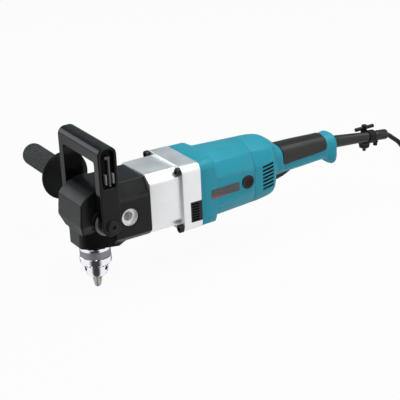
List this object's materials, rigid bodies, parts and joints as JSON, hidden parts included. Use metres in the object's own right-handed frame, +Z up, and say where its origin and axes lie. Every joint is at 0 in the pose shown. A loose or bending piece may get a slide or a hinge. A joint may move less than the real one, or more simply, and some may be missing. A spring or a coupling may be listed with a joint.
{
  "type": "right angle drill",
  "caption": "Corded right angle drill: gear head with keyed chuck below, pivoting loop handle over it, long side handle, motor body, rear handle with trigger and coiled cord.",
  "frame": {"origin": "the tips of the closed chuck jaws, on the spindle axis", "axes": "+Z up along the spindle axis, +X along the motor axis from the head to the rear handle, +Y to the side that carries the side handle"},
  "size_m": [0.7508, 0.3975, 0.23],
  "materials": {
    "black_casting": "black painted light alloy casting, half gloss",
    "silver_casting": "silver painted light alloy casting, fine grain",
    "bright_metal": "turned bright",
    "teal_plastic": "moulded, fine texture",
    "black_plastic": "moulded black, fine texture",
    "rubber": "soft black rubber",
    "steel": "ground steel",
    "dark_steel": "blackened steel",
    "jaw_steel": "hardened steel, brownish",
    "chrome": "bright plated steel",
    "copper": "copper",
    "brass": "plain brass",
    "carbon": "pressed carbon",
    "grey_plate": "bare dark plate with a red wedge, no lettering"
  },
  "bodies": {
    "housing": {"head_casting": "black_casting", "head_cover": "black_casting", "head_screws": "dark_steel", "side_handle_bushes": "bright_metal", "spindle_bearings": "steel", "spindle_seal": "rubber", "gear_bearings": "steel", "bearing_plate": "silver_casting", "gear_housing": "silver_casting", "housing_screws": "dark_steel", "vent_grille_left": "black_plastic", "vent_grille_right": "black_plastic", "motor_housing": "teal_plastic", "field_core": "steel", "field_coils": "copper", "armature_bearings": "steel", "rear_bearing_bracket": "black_plastic", "brush_holders": "copper", "carbon_brushes": "carbon", "brush_springs": "steel", "brush_caps": "black_plastic", "name_plate": "grey_plate", "handle_left": "teal_plastic", "handle_right": "teal_plastic", "handle_grip": "rubber", "handle_screws": "dark_steel", "switch_body": "black_plastic", "trigger_pin": "steel", "inner_lead": "rubber", "cord_clamp": "black_plastic", "cord_guard": "rubber", "key_holder": "rubber", "chuck_key": "dark_steel", "loop_handle_bolts": "dark_steel", "side_handle_stud": "steel", "side_handle_grip": "black_plastic", "cord": "rubber", "cord_coil": "rubber", "coil_tie": "black_plastic", "plug_body": "rubber", "plug_pins": "brass"},
    "spindle": {"spindle": "steel", "bevel_gear": "steel", "chuck_body": "chrome"},
    "sleeve": {"chuck_sleeve": "chrome", "chuck_nut": "steel"},
    "jaw_1": {"jaw_1": "jaw_steel"},
    "jaw_2": {"jaw_2": "jaw_steel"},
    "jaw_3": {"jaw_3": "jaw_steel"},
    "pinion_shaft": {"bevel_pinion_shaft": "steel", "final_gear": "steel"},
    "countershaft": {"countershaft": "steel", "intermediate_gear": "steel"},
    "armature": {"armature_shaft": "steel", "armature_core": "steel", "commutator": "copper", "cooling_fan": "black_plastic"},
    "trigger": {"trigger": "black_plastic"},
    "loop_handle": {"loop_handle": "black_plastic", "hex_key": "steel"}
  },
  "joints": [
    {"name": "armature_spin", "type": "hinge", "parent": "housing", "child": "armature", "pos_m": [0.18, 0, 0.1165], "axis": [1, 0, 0], "continuous": true},
    {"name": "countershaft_spin", "type": "hinge", "parent": "housing", "child": "countershaft", "pos_m": [0.09, 0.01905, 0.1275], "axis": [1, 0, 0], "continuous": true},
    {"name": "pinion_spin", "type": "hinge", "parent": "housing", "child": "pinion_shaft", "pos_m": [0.06, 0, 0.1165], "axis": [1, 0, 0], "continuous": true},
    {"name": "spindle_spin", "type": "hinge", "parent": "housing", "child": "spindle", "pos_m": [0, 0, 0.09], "axis": [0, 0, 1], "continuous": true},
    {"name": "sleeve_turn", "type": "hinge", "parent": "spindle", "child": "sleeve", "pos_m": [0, 0, 0.04], "axis": [0, 0, 1], "range_deg": [0, 3600]},
    {"name": "jaw_1_slide", "type": "slide", "parent": "spindle", "child": "jaw_1", "axis": [-0.1255, 0.2264, 0.9659], "range_m": [0, 0.0222]},
    {"name": "jaw_2_slide", "type": "slide", "parent": "spindle", "child": "jaw_2", "axis": [-0.1333, -0.2219, 0.9659], "range_m": [0, 0.0222]},
    {"name": "jaw_3_slide", "type": "slide", "parent": "spindle", "child": "jaw_3", "axis": [0.2588, -0.0045, 0.9659], "range_m": [0, 0.0222]},
    {"name": "trigger_pull", "type": "hinge", "parent": "housing", "child": "trigger", "pos_m": [0.342, 0, 0.103], "axis": [0, 1, 0], "range_deg": [0, 6], "stiffness_Nm_per_rad": 0.4, "springref_deg": -5.73},
    {"name": "loop_handle_swing", "type": "hinge", "parent": "housing", "child": "loop_handle", "pos_m": [0, 0, 0.1135], "axis": [0, 1, 0], "range_deg": [-90, 40]}
  ],
  "couplings": [
    {"joint": "countershaft_spin", "follows": "armature_spin", "ratio": -0.25},
    {"joint": "pinion_spin", "follows": "armature_spin", "ratio": 0.083333},
    {"joint": "spindle_spin", "follows": "armature_spin", "ratio": -0.034722},
    {"joint": "jaw_1_slide", "follows": "sleeve_turn", "m_per_rad": 0.000353},
    {"joint": "jaw_2_slide", "follows": "sleeve_turn", "m_per_rad": 0.000353},
    {"joint": "jaw_3_slide", "follows": "sleeve_turn", "m_per_rad": 0.000353}
  ]
}
